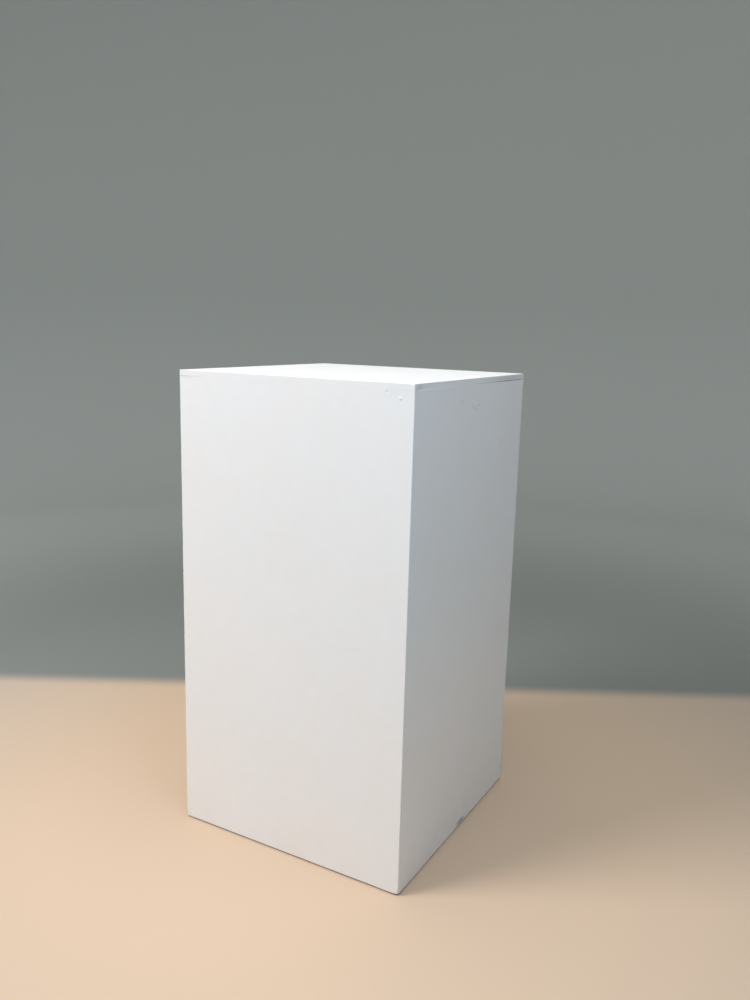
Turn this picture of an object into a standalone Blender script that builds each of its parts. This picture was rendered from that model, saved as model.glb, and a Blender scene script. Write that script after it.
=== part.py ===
"""A square display plinth: a painted box of sheet material on a softwood frame, open underneath.

Metres, +Z up. The origin is the middle of the footprint, at floor level. The front faces -Y.
The lid lies over the four walls. The front and back walls cover the ends of the side walls.
"""

import math

import bmesh
import bpy
from mathutils import Matrix, Vector

# Driving dimensions of the whole plinth
SIDE = 0.540
HEIGHT = 1.000
SHEET = 0.012
GAP = 0.0003

# The walls stop just above the floor, and the frame a little higher, where the glides sit
WALL_LIFT = 0.003
FRAME_LIFT = 0.005
WALL_EASE = 0.0010
EASE_STEPS = 2

# Softwood frame
POST = 0.034
RAIL_THICK = 0.020
RAIL_TALL = 0.070
SOFTWOOD_EASE = 0.0015

# Countersunk wood screws, set below the surface so that filler can cover them
SCREW_LENGTH = 0.029
SCREW_HEAD_RADIUS = 0.0038
SCREW_SHANK_RADIUS = 0.0019
SCREW_RIM = 0.0004
SCREW_CONE = 0.0022
SCREW_TIP = 0.0050
SCREW_SET = 0.0010
RECESS_ARM = 0.0019
RECESS_HALF_WIDTH = 0.0004
RECESS_DEPTH = 0.0013
SCREW_STEPS = 12

# Where the screws go, measured from the top of the lid or from the bottom of a wall
FRONT_END_DROP = 0.027
SIDE_END_DROP = 0.043
RAIL_SCREW_DROP = 0.043
RAIL_SCREW_SPREAD = 0.069
BASE_SCREW_RISE = 0.040

# Nail-on glides under the posts
GLIDE_RADIUS = 0.011
GLIDE_FOOT_RADIUS = 0.009
GLIDE_CHAMFER = 0.0015
GLIDE_WELL_RADIUS = 0.0034
GLIDE_WELL_DEPTH = 0.0022
NAIL_HEAD_RADIUS = 0.0029
NAIL_HEAD_THICK = 0.0010
NAIL_SHANK_RADIUS = 0.0010
NAIL_LENGTH = 0.016
NAIL_TIP = 0.003
GLIDE_STEPS = 16

# Derived places
HALF = SIDE / 2
INNER = HALF - SHEET - GAP
LID_UNDERSIDE = HEIGHT - SHEET
FRAME_TOP = LID_UNDERSIDE - GAP
POST_CENTRE = INNER - POST / 2
RAIL_HALF_LENGTH = INNER - POST - GAP
RAIL_CENTRE = INNER - RAIL_THICK / 2
WELD_DISTANCE = 1e-6

# Each wall is the front one turned about Z by this many quarter turns
WALLS = {"front": 0, "right": 1, "back": 2, "left": 3}
CORNERS = {"front_left": (-1, -1), "front_right": (1, -1), "back_right": (1, 1), "back_left": (-1, 1)}


def clear_scene():
    for old in list(bpy.data.objects):
        bpy.data.objects.remove(old, do_unlink=True)


def finish(name, colour, roughness, metallic=0.0):
    """A material with one Principled BSDF."""
    made = bpy.data.materials.new(name)
    made.use_nodes = True
    made.diffuse_color = (*colour, 1.0)
    shader = made.node_tree.nodes["Principled BSDF"]
    shader.inputs["Base Color"].default_value = (*colour, 1.0)
    shader.inputs["Roughness"].default_value = roughness
    shader.inputs["Metallic"].default_value = metallic
    return made


def place(name, mesh, group, location=(0, 0, 0), rotation=None):
    """A named object on the shared group empty."""
    made = bpy.data.objects.new(name, mesh)
    bpy.context.scene.collection.objects.link(made)
    made.parent = group
    made.location = location
    if rotation is not None:
        made.rotation_mode = "QUATERNION"
        made.rotation_quaternion = rotation
    return made


def board_mesh(name, size, ease, steps, look):
    """A rectangular board about its own centre, with every arris eased."""
    shape = bmesh.new()
    bmesh.ops.create_cube(shape, size=1.0)
    bmesh.ops.scale(shape, vec=size, verts=shape.verts)
    bmesh.ops.bevel(
        shape, geom=shape.edges[:], offset=ease, segments=steps, profile=0.5, affect="EDGES"
    )
    return finished_mesh(name, shape, look)


def turned_mesh(name, profile, steps, look=None, closed=False):
    """(radius, height) points spun about Z: open with both ends on Z, or a closed loop clear of it."""
    shape = bmesh.new()
    points = [shape.verts.new((radius, 0, height)) for radius, height in profile]
    for start, end in zip(points, points[1:]):
        shape.edges.new((start, end))
    if closed:
        shape.edges.new((points[-1], points[0]))
    bmesh.ops.spin(
        shape,
        geom=shape.verts[:] + shape.edges[:],
        cent=(0, 0, 0),
        axis=(0, 0, 1),
        angle=math.tau,
        steps=steps,
        use_merge=True,
    )
    bmesh.ops.remove_doubles(shape, verts=shape.verts, dist=WELD_DISTANCE)
    bmesh.ops.recalc_face_normals(shape, faces=shape.faces)
    return finished_mesh(name, shape, look)


def finished_mesh(name, shape, look):
    """The bmesh as a mesh, round surfaces smooth and arrises sharp."""
    mesh = bpy.data.meshes.new(name)
    shape.to_mesh(mesh)
    shape.free()
    mesh.shade_smooth()
    mesh.set_sharp_from_angle(angle=math.radians(35))
    if look is not None:
        mesh.materials.append(look)
    return mesh


def cut(target, cutter):
    """A hidden cutter taken out of a target, both staying editable."""
    cutter.hide_render = True
    cutter.display_type = "WIRE"
    boolean = target.modifiers.new("holes", "BOOLEAN")
    boolean.operation = "DIFFERENCE"
    boolean.solver = "EXACT"
    boolean.object = cutter


def cross_mesh(name):
    """The cross recess in a screw's head, standing a little above the head."""
    shape = bmesh.new()
    corners = (
        (RECESS_ARM, -RECESS_HALF_WIDTH),
        (RECESS_ARM, RECESS_HALF_WIDTH),
        (RECESS_HALF_WIDTH, RECESS_HALF_WIDTH),
    )
    outline = []
    for quarter in range(4):
        turn = Matrix.Rotation(quarter * math.pi / 2, 2)
        for corner in corners:
            outline.append(shape.verts.new((*(turn @ Vector(corner)), -RECESS_DEPTH)))
    floor = shape.faces.new(outline)
    raised = bmesh.ops.extrude_face_region(shape, geom=[floor])["geom"]
    lifted = [item for item in raised if isinstance(item, bmesh.types.BMVert)]
    bmesh.ops.translate(shape, vec=(0, 0, 2 * RECESS_DEPTH), verts=lifted)
    bmesh.ops.recalc_face_normals(shape, faces=shape.faces)
    return finished_mesh(name, shape, None)


def screw_profile(margin, reach):
    """Half a screw's outline down Z, grown by margin, its top raised by reach."""
    head = SCREW_HEAD_RADIUS + margin
    shank = SCREW_SHANK_RADIUS + margin
    bottom = -SCREW_LENGTH - margin
    return [
        (0, reach),
        (head, reach),
        (head, -SCREW_RIM),
        (shank, -SCREW_RIM - SCREW_CONE),
        (shank, bottom + SCREW_TIP),
        (0, bottom),
    ]


def screw_mesh(steel):
    """A countersunk wood screw with a cross recess, its head's top at the origin, pointing down Z."""
    turned = turned_mesh("screw_blank", screw_profile(0, 0), SCREW_STEPS, steel)
    blank = bpy.data.objects.new("screw_blank", turned)
    recess = bpy.data.objects.new("screw_recess", cross_mesh("screw_recess"))
    for helper in (blank, recess):
        bpy.context.scene.collection.objects.link(helper)
    cut(blank, recess)
    graph = bpy.context.evaluated_depsgraph_get()
    mesh = bpy.data.meshes.new_from_object(blank.evaluated_get(graph))
    mesh.name = "wood_screw"
    for helper in (blank, recess):
        bpy.data.objects.remove(helper, do_unlink=True)
    return mesh


def glide_mesh(nylon):
    """A nylon foot with a well for the nail's head, its sole at the origin."""
    nail_hole = NAIL_SHANK_RADIUS + GAP
    profile = [
        (GLIDE_WELL_RADIUS, 0),
        (GLIDE_FOOT_RADIUS, 0),
        (GLIDE_RADIUS, GLIDE_CHAMFER),
        (GLIDE_RADIUS, FRAME_LIFT),
        (nail_hole, FRAME_LIFT),
        (nail_hole, GLIDE_WELL_DEPTH),
        (GLIDE_WELL_RADIUS, GLIDE_WELL_DEPTH),
    ]
    return turned_mesh("glide", profile, GLIDE_STEPS, nylon, closed=True)


def nail_profile(margin):
    """Half a nail's outline, its head's lower face at the origin, pointing up Z."""
    shank = NAIL_SHANK_RADIUS + margin
    top = NAIL_LENGTH + margin
    return [
        (0, -margin),
        (NAIL_HEAD_RADIUS + margin, -margin),
        (NAIL_HEAD_RADIUS + margin, NAIL_HEAD_THICK + margin),
        (shank, NAIL_HEAD_THICK + margin),
        (shank, top - NAIL_TIP),
        (0, top),
    ]


def quarter_turn(quarters):
    return Matrix.Rotation(quarters * math.pi / 2, 4, "Z")


def wall_size(name):
    """Length, thickness and height of a wall: the side walls fit between the front and back ones."""
    length = SIDE if name in ("front", "back") else SIDE - 2 * (SHEET + GAP)
    return Vector((length, SHEET, LID_UNDERSIDE - GAP - WALL_LIFT))


def wall_screws(wall):
    """Name and pose of each screw in one wall: four into the posts and three into the rails."""
    end_drop = FRONT_END_DROP if wall in ("front", "back") else SIDE_END_DROP
    spots = {
        "top_left": (-POST_CENTRE, HEIGHT - end_drop),
        "top_mid_left": (-RAIL_SCREW_SPREAD, HEIGHT - RAIL_SCREW_DROP),
        "top_mid_right": (RAIL_SCREW_SPREAD, HEIGHT - RAIL_SCREW_DROP),
        "top_right": (POST_CENTRE, HEIGHT - end_drop),
        "base_left": (-POST_CENTRE, WALL_LIFT + end_drop),
        "base_mid": (0, WALL_LIFT + BASE_SCREW_RISE),
        "base_right": (POST_CENTRE, WALL_LIFT + end_drop),
    }
    inward = Matrix.Rotation(math.pi / 2, 4, "X")
    poses = {}
    for spot, (along, height) in spots.items():
        head = Matrix.Translation((along, -HALF + SCREW_SET, height))
        poses[f"wall_screw_{wall}_{spot}"] = quarter_turn(WALLS[wall]) @ head @ inward
    return poses


def lid_screw(wall):
    """Pose of the screw that holds the lid down on the middle of one top rail."""
    head = Matrix.Translation((0, -RAIL_CENTRE, HEIGHT - SCREW_SET))
    return quarter_turn(WALLS[wall]) @ head


def glide_place(corner):
    across, along = CORNERS[corner]
    return Vector((across * POST_CENTRE, along * POST_CENTRE, 0))


def hole_cutter(name, poses, group):
    """One cutter object holding a copy of a hole's shape at each of the poses given."""
    shape = bmesh.new()
    for mesh, pose in poses:
        start = len(shape.verts)
        shape.from_mesh(mesh)
        shape.verts.ensure_lookup_table()
        bmesh.ops.transform(shape, matrix=pose, verts=shape.verts[start:])
    mesh = bpy.data.meshes.new(name)
    shape.to_mesh(mesh)
    shape.free()
    return place(name, mesh, group)


def drill(target, poses, group):
    """Cuts the holes whose poses are given into one piece of the plinth."""
    cut(target, hole_cutter(f"{target.name}_holes", poses, group))


def make_walls(paint, group, screw_hole):
    for wall, quarters in WALLS.items():
        size = wall_size(wall)
        mesh = board_mesh(f"{wall}_panel", size, WALL_EASE, EASE_STEPS, paint)
        middle = Vector((0, -HALF + SHEET / 2, WALL_LIFT + size.z / 2))
        turn = quarter_turn(quarters)
        panel = place(f"{wall}_panel", mesh, group, turn @ middle, turn.to_quaternion())
        drill(panel, [(screw_hole, pose) for pose in wall_screws(wall).values()], group)


def make_lid(paint, group, screw_hole):
    mesh = board_mesh("top_panel", Vector((SIDE, SIDE, SHEET)), WALL_EASE, EASE_STEPS, paint)
    lid = place("top_panel", mesh, group, (0, 0, HEIGHT - SHEET / 2))
    drill(lid, [(screw_hole, lid_screw(wall)) for wall in WALLS], group)


def make_posts(softwood, group, screw_hole, nail_hole):
    """Corner posts from just above the glides to the lid, each holding the ends of two walls."""
    tall = FRAME_TOP - FRAME_LIFT - GAP
    mesh = board_mesh("corner_post", Vector((POST, POST, tall)), SOFTWOOD_EASE, 1, softwood)
    for corner in CORNERS:
        foot = glide_place(corner)
        middle = foot + Vector((0, 0, FRAME_LIFT + GAP + tall / 2))
        post = place(f"corner_post_{corner}", mesh.copy(), group, middle)
        holes = [(nail_hole, nail_pose(corner))]
        for wall in WALLS:
            for pose in wall_screws(wall).values():
                head = pose.translation
                if max(abs(head.x - foot.x), abs(head.y - foot.y)) < POST:
                    holes.append((screw_hole, pose))
        drill(post, holes, group)


def make_rails(softwood, group, screw_hole):
    """Rails on edge between the posts, under the lid and along the base of each wall."""
    size = Vector((2 * RAIL_HALF_LENGTH, RAIL_THICK, RAIL_TALL))
    levels = {"top": FRAME_TOP - RAIL_TALL / 2, "base": FRAME_LIFT + GAP + RAIL_TALL / 2}
    for level, height in levels.items():
        for wall, quarters in WALLS.items():
            mesh = board_mesh(f"{level}_rail_{wall}", size, SOFTWOOD_EASE, 1, softwood)
            turn = quarter_turn(quarters)
            middle = turn @ Vector((0, -RAIL_CENTRE, height))
            rail = place(f"{level}_rail_{wall}", mesh, group, middle, turn.to_quaternion())
            poses = [pose for name, pose in wall_screws(wall).items() if f"{level}_mid" in name]
            if level == "top":
                poses.append(lid_screw(wall))
            drill(rail, [(screw_hole, pose) for pose in poses], group)


def nail_pose(corner):
    """The nail's head rests against the roof of the glide's well, less the gap."""
    head = Vector((0, 0, GLIDE_WELL_DEPTH - NAIL_HEAD_THICK - GAP))
    return Matrix.Translation(glide_place(corner) + head)


def make_glides(nylon, steel, group):
    glide = glide_mesh(nylon)
    nail = turned_mesh("glide_nail", nail_profile(0), SCREW_STEPS, steel)
    for corner in CORNERS:
        place(f"base_glide_{corner}", glide, group, glide_place(corner))
        place(f"glide_nail_{corner}", nail, group, nail_pose(corner).translation)


def make_screws(steel, group):
    screw = screw_mesh(steel)
    poses = {f"lid_screw_{wall}": lid_screw(wall) for wall in WALLS}
    for wall in WALLS:
        poses.update(wall_screws(wall))
    for name, pose in poses.items():
        place(name, screw, group, pose.translation, pose.to_quaternion())


def main():
    clear_scene()
    paint = finish("white_satin_paint", (0.83, 0.84, 0.83), 0.42)
    softwood = finish("planed_softwood", (0.62, 0.46, 0.28), 0.65)
    steel = finish("zinc_plated_steel", (0.62, 0.61, 0.56), 0.32, 1.0)
    nylon = finish("grey_nylon", (0.30, 0.30, 0.30), 0.50)
    group = bpy.data.objects.new("plinth", None)
    bpy.context.scene.collection.objects.link(group)
    screw_hole = turned_mesh("screw_hole", screw_profile(GAP, 2 * SCREW_SET), SCREW_STEPS)
    nail_hole = turned_mesh("nail_hole", nail_profile(GAP), SCREW_STEPS)
    make_walls(paint, group, screw_hole)
    make_lid(paint, group, screw_hole)
    make_posts(softwood, group, screw_hole, nail_hole)
    make_rails(softwood, group, screw_hole)
    make_screws(steel, group)
    make_glides(nylon, steel, group)


main()
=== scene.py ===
"""The looks of a painted display plinth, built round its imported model.

Metres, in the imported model's frame: +Z up, the front faces -Y, the floor lies at Z = 0.
Each sheet of the box is replaced by a fine mesh with eased arrises, paint that bridges the seams,
filler over the screws and small knocks. Screws, nails and glides are made again in full detail.
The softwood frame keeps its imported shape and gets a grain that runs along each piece.
"""

import math

import bmesh
import bpy
import numpy as np
from mathutils import Matrix, Vector


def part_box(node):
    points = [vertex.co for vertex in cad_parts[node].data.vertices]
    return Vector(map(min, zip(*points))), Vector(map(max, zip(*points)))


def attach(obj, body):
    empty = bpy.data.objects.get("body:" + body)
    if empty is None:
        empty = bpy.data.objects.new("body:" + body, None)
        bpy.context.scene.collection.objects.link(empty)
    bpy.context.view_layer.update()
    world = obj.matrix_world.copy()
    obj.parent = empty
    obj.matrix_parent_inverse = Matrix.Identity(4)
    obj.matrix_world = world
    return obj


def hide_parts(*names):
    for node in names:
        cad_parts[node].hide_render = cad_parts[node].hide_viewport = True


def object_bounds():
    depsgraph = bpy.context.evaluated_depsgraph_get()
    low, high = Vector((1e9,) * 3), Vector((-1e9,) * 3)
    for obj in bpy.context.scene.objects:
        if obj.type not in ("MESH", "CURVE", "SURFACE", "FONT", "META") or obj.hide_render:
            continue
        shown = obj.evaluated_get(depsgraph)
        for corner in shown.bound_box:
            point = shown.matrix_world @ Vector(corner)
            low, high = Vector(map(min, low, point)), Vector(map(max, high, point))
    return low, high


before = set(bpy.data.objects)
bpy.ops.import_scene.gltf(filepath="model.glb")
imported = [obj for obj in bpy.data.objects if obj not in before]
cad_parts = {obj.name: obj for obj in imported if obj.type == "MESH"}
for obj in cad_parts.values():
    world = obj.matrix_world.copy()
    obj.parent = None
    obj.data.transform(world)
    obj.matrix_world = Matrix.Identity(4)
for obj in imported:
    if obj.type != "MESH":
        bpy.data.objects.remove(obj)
CAD_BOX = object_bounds()

MM = 0.001
BODY = "root"

# Camera: where it stands, where it looks and how wide it sees
CAMERA_PLACE = (0.9600, -1.6277, 1.0970)
CAMERA_HEADING = 29.390
CAMERA_TILT_DOWN = 11.311
CAMERA_ROLL = 1.516
CAMERA_LENS = 31.32
CAMERA_SENSOR = 36.0

# The five sheets: the directions that run along each one, its outward side being their cross product
SHEETS = {
    "front_panel": ((1, 0, 0), (0, 0, 1)),
    "right_panel": ((0, 1, 0), (0, 0, 1)),
    "back_panel": ((-1, 0, 0), (0, 0, 1)),
    "left_panel": ((0, -1, 0), (0, 0, 1)),
    "top_panel": ((1, 0, 0), (0, 1, 0)),
}
COVERING_WALLS = ("front_panel", "back_panel")
WALLS = ("front_panel", "right_panel", "back_panel", "left_panel")

# Mesh lines of a sheet
COARSE_STEP = 9 * MM
EDGE_STEP = 0.16 * MM
SPOT_STEPS_PER_RADIUS = 3.6
STEP_GROWTH = 0.34

# Arrises and seams
ARRIS = 1.7 * MM
ARRIS_SWING = 0.5 * MM
LID_ARRIS = 0.75 * MM
LID_SWING = 0.15 * MM
BASE_ARRIS = 0.55 * MM
BASE_SWING = 0.2 * MM
SEAM_ARRIS = 0.10 * MM
CRACK_ARRIS = 0.55 * MM
HAIRLINE = 0.02 * MM
CRACK_WIDTH = 1.15 * MM
CRACK_SWING = 0.35
CORNER_REACH = 9 * MM
CORNER_WEAR = (0.5, 1.5)
CORNER_SEED = 29
NEAR_CORNER_WEAR = 2.8 * MM
REACH_FADE = 7 * MM
LEDGE_PER_SET_BACK = 1.3

# Relief of the painted skin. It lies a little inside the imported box, and a bump that would stand out of
# the box is cut level with it
SKIN = 0.38 * MM
WAVE = 0.06 * MM
RIPPLE = 0.032 * MM
BEAD = 0.07 * MM
BEAD_DROP = 2.0 * MM
BEAD_INSET = 1.0 * MM
BEAD_WIDTH = 1.1 * MM
BEAD_PER_SET_BACK = 0.3
FACE_FADE = 2.6 * MM
MESHED_KNOCK = 0.15 * MM

# The seam under the lid, all the way round: 0 to 1 is the front wall from its left end, then come the
# right, back and left walls. Each row gives a place, how open the crack is there and how far the lid
# stands back from the wall below it, in millimetres. A lid that stands out casts a shadow on the seam.
SEAM = (
    (0.00, 0.46, -0.18),
    (0.04, 0.28, -0.12),
    (0.09, 0.14, -0.05),
    (0.15, 0.00, 0.00),
    (0.36, 0.00, 0.04),
    (0.43, 0.11, 0.03),
    (0.50, 0.09, 0.04),
    (0.56, 0.00, 0.05),
    (0.80, 0.02, 0.00),
    (0.98, 0.04, 0.00),
    (1.00, 0.35, -0.05),
    (1.03, 0.05, 0.45),
    (1.10, 0.00, 0.42),
    (1.22, 0.02, 0.30),
    (1.40, 0.05, 0.24),
    (1.52, 0.16, 0.16),
    (1.62, 0.30, 0.05),
    (1.72, 0.55, -0.05),
    (1.82, 0.90, -0.12),
    (2.00, 1.00, -0.18),
    (2.20, 0.40, 0.00),
    (2.50, 0.00, 0.10),
    (2.80, 0.20, 0.00),
    (3.00, 0.35, -0.10),
    (3.20, 0.05, 0.10),
    (3.50, 0.00, 0.12),
    (3.75, 0.25, -0.05),
    (3.90, 0.35, -0.10),
)


LOW, HIGH = (np.array(corner) for corner in CAD_BOX)
HALF = float(HIGH[0])
TOP = float(HIGH[2])
LID_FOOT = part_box("top_panel")[0].z
FRONT_LOW, FRONT_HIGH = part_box("front_panel")
GAP = LID_FOOT - FRONT_HIGH.z
WALL_FOOT = FRONT_LOW.z


# ---------------------------------------------------------------- small knocks and filler


def on_wall(wall, from_left, below_top):
    """A point on a wall's outer face, measured from its left edge and from the top of the lid."""
    along, up = (Vector(axis) for axis in SHEETS[wall])
    return along * (from_left - HALF) + along.cross(up) * HALF + up * (TOP - below_top)


def screw_spot(wall, screw):
    """The point on a wall's face over one of its screws."""
    low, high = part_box(screw)
    along, up = (Vector(axis) for axis in SHEETS[wall])
    middle = (low + high) / 2
    return along * along.dot(middle) + along.cross(up) * HALF + up * middle.z


# The screw that stands proud near the front's top right corner: a wide hollow where its filler shrank, a
# nub over the head and a nick beside it, as (shift along the wall, shift up, radius, height), all in
# millimetres
PROUD_SCREW = "wall_screw_front_top_right"
PROUD_MARKS = (
    (0, 0, 24, -0.52),
    (0, 0, 2.2, 0.92),
    (2.6, -3.0, 1.7, -0.30),
)

# Knocks and lumps of filler: (wall, from its left edge, below the lid's top, radius, height), in millimetres
KNOCK_MARKS = (
    ("front_panel", 484, 17, 1.9, -0.75),
    ("front_panel", 482, 13.4, 1.8, 0.22),
    ("front_panel", 15, 67, 3.5, 0.30),
    ("front_panel", 18, 61, 3.0, -0.25),
    ("right_panel", 263, 49, 4.6, 0.40),
    ("right_panel", 275, 53, 4.0, 0.40),
    ("right_panel", 264, 60, 5.0, -0.85),
    ("right_panel", 276, 64, 5.0, -0.95),
    ("right_panel", 288, 56, 5.0, -0.85),
    ("right_panel", 196, 41, 4.6, -0.50),
    ("right_panel", 208, 48, 4.4, -0.50),
    ("right_panel", 200, 49, 3.4, 0.22),
    ("right_panel", 240, 21, 5.0, 0.36),
    ("right_panel", 268, 23, 4.5, 0.30),
    ("right_panel", 108, 887, 4.0, 0.36),
    ("right_panel", 102, 896, 3.6, 0.34),
    ("right_panel", 110, 897, 3.6, -0.30),
    ("front_panel", 8, 989.5, 2.1, -0.45),
    ("front_panel", 11, 979, 1.9, -0.40),
    ("front_panel", 16, 984, 3.2, 0.25),
)

# Chance marks on every wall: how many, and the ranges that their radii and depths come from, in millimetres
SCREW_RADII, SCREW_DEPTHS = (4.0, 6.5), (0.04, 0.14)
FOOT_DENTS, FOOT_RADII, FOOT_DEPTHS = 6, (1.4, 3.2), (0.15, 0.5)
FACE_BUMPS, FACE_RADII, FACE_HEIGHT_SPREAD = 5, (3, 9), 0.07
ARRIS_DENTS, ARRIS_RADII, ARRIS_DEPTHS = 4, (1.6, 3.4), (0.12, 0.45)
ALONG_FOOT, ABOVE_FOOT = (12, 528), (0, 4)
ALONG_FACE, DOWN_FACE = (30, 510), (100, 950)
DOWN_ARRIS = (20, 980)
KNOCK_SEED = 41


def wall_knocks():
    """(place, radius, height) of each bump above 0 or dent below 0 on the four walls."""
    rng = np.random.default_rng(KNOCK_SEED)

    def drawn(limits):
        return float(rng.uniform(*limits)) * MM

    knocks = []
    for along, up, radius, height in PROUD_MARKS:
        place = screw_spot("front_panel", PROUD_SCREW) + Vector((along * MM, 0, up * MM))
        knocks.append((place, radius * MM, height * MM))
    for wall, from_left, below_top, radius, height in KNOCK_MARKS:
        knocks.append((on_wall(wall, from_left * MM, below_top * MM), radius * MM, height * MM))
    for node in sorted(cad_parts):
        if node.startswith("wall_screw") and node != PROUD_SCREW:
            depth = drawn(SCREW_DEPTHS)
            wall = node.split("_")[2] + "_panel"
            knocks.append((screw_spot(wall, node), drawn(SCREW_RADII), -depth))
    for wall in WALLS:
        for _ in range(FOOT_DENTS):
            below_top = TOP - WALL_FOOT - drawn(ABOVE_FOOT)
            place = on_wall(wall, drawn(ALONG_FOOT), below_top)
            knocks.append((place, drawn(FOOT_RADII), -drawn(FOOT_DEPTHS)))
        for _ in range(FACE_BUMPS):
            place = on_wall(wall, drawn(ALONG_FACE), drawn(DOWN_FACE))
            knocks.append((place, drawn(FACE_RADII), float(rng.normal(0, FACE_HEIGHT_SPREAD)) * MM))
        for _ in range(ARRIS_DENTS):
            place = on_wall(wall, 0, drawn(DOWN_ARRIS))
            knocks.append((place, drawn(ARRIS_RADII), -drawn(ARRIS_DEPTHS)))
    return knocks


KNOCKS = wall_knocks()


# ---------------------------------------------------------------- relief of the painted skin


def waves(points, count, shortest, longest, seed):
    """Smooth random relief of about -1 to 1: sine waves in many directions, shortest to longest."""
    rng = np.random.default_rng(seed)
    total = np.zeros(len(points))
    for _ in range(count):
        direction = rng.normal(size=3)
        direction /= np.linalg.norm(direction)
        length = shortest * (longest / shortest) ** rng.random()
        total += np.sin(points @ direction * (math.tau / length) + rng.random() * math.tau)
    return total / math.sqrt(count)


def seam_place(points):
    """Each point's place along the seam under the lid, counted in walls from the front's left end."""
    rows = np.array([SHEETS[wall][0] for wall in WALLS], float)
    outward = np.array([Vector(SHEETS[wall][0]).cross(Vector(SHEETS[wall][1])) for wall in WALLS])
    nearest = np.argmax(points @ outward.T, axis=1)
    along = (points * rows[nearest]).sum(axis=1)
    return nearest + np.clip((along + HALF) / (2 * HALF), 0, 1)


def seam_openness(points):
    """How open the crack under the lid is near each point, from 0, filled with paint, to 1."""
    place, amount, _ = np.array(SEAM).T
    even = np.interp(seam_place(points), place, amount, period=len(WALLS))
    level = points * (1, 1, 0)
    broken = waves(level, count=10, shortest=12 * MM, longest=60 * MM, seed=7)
    return np.clip(even * (1 + CRACK_SWING * broken), 0, 1)


def lid_set_back(points):
    """How far the lid's edge stands back from the wall below it near each point."""
    place, _, depth = np.array(SEAM).T
    return np.interp(seam_place(points), place, depth, period=len(WALLS)) * MM


def bead_relief(points):
    """Low ridges of paint just below the lid's seam, where it is filled, and over the upright seams."""
    below = (LID_FOOT - BEAD_DROP - points[:, 2]) / BEAD_WIDTH
    uneven = waves(points, count=9, shortest=14 * MM, longest=70 * MM, seed=11)
    filled = (1 - seam_openness(points)) * (0.65 + 0.35 * uneven)
    lid_bead = np.exp(-below * below) * filled
    inset = (FRONT_HIGH.y + BEAD_INSET + np.abs(points[:, 1])) / BEAD_WIDTH
    on_side = np.abs(points[:, 0]) > HALF - 1.5 * MM
    uneven = waves(points, count=9, shortest=20 * MM, longest=120 * MM, seed=13)
    upright = np.exp(-inset * inset) * on_side * (0.5 + 0.3 * uneven)
    lid_bead_height = BEAD + BEAD_PER_SET_BACK * np.maximum(lid_set_back(points), 0)
    return lid_bead_height * lid_bead + 2 * BEAD * upright


def relief(points):
    """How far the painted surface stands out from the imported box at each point, mostly a little below 0."""
    height = -SKIN + WAVE * waves(points, count=26, shortest=70 * MM, longest=320 * MM, seed=3)
    height += RIPPLE * waves(points, count=30, shortest=30 * MM, longest=80 * MM, seed=5)
    height += bead_relief(points)
    for place, radius, size in KNOCKS:
        away = points - np.array(place)
        near = np.abs(away).max(axis=1) < 4 * radius
        height[near] += size * np.exp(-(away[near] ** 2).sum(axis=1) / radius**2)
    return height


# ---------------------------------------------------------------- one sheet of the box


def spaced(low, high, spots):
    """Mesh line positions from low to high, close together at both ends and at each (place, step)."""
    centres, finest = np.array([(low, EDGE_STEP), (high, EDGE_STEP), *spots]).T
    lines = [low]
    while lines[-1] < high:
        finest_here = (finest + STEP_GROWTH * np.abs(centres - lines[-1])).min()
        lines.append(lines[-1] + min(COARSE_STEP, finest_here))
    return low + (np.array(lines) - low) * (high - low) / (lines[-1] - low)


def shell(us, vs, ns):
    """A closed box surface: grid points on its outer side and four edges, and one large face inside."""
    shape = (len(us), len(vs), len(ns))
    kept = np.zeros(shape, bool)
    kept[:, :, -1] = True
    kept[[0, -1], :, :] = True
    kept[:, [0, -1], :] = True
    index = np.full(shape, -1)
    index[kept] = np.arange(kept.sum())
    i, j, k = np.nonzero(kept)
    points = np.stack([us[i], vs[j], ns[k]], axis=1)

    def quads(grid, flipped=False):
        corners = [grid[:-1, :-1], grid[1:, :-1], grid[1:, 1:], grid[:-1, 1:]]
        found = np.stack([corner.ravel() for corner in corners], axis=1)
        return found[:, ::-1] if flipped else found

    faces = np.concatenate(
        [
            quads(index[:, :, -1]),
            quads(index[-1]),
            quads(index[0], True),
            quads(index[:, -1].T),
            quads(index[:, 0].T, True),
        ]
    ).tolist()
    rim = [*index[:-1, 0, 0], *index[-1, :-1, 0], *index[:0:-1, -1, 0], *index[0, :0:-1, 0]]
    faces.append([int(number) for number in rim[::-1]])
    return points, faces


def eased_shift(points, low, high, first, second, radius):
    """The shift that pulls points beyond a rounded edge onto its arc; its two sides are (axis, side)."""
    away = []
    for axis, side in (first, second):
        bound = high[axis] if side > 0 else low[axis]
        away.append(side * (bound - points[:, axis]))
    inner_a = radius - away[0]
    inner_b = radius - away[1]
    length = np.hypot(inner_a, inner_b)
    outside = (inner_a > 0) & (inner_b > 0) & (length > radius)
    factor = np.where(outside, radius / np.maximum(length, 1e-9), 1.0)
    shift = np.zeros_like(points)
    shift[:, first[0]] = -first[1] * inner_a * (1 - factor)
    shift[:, second[0]] = -second[1] * inner_b * (1 - factor)
    return shift


def sheet_axes(name):
    along, up = (Vector(axis) for axis in SHEETS[name])
    return np.array([along, up, along.cross(up)], float)


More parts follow.
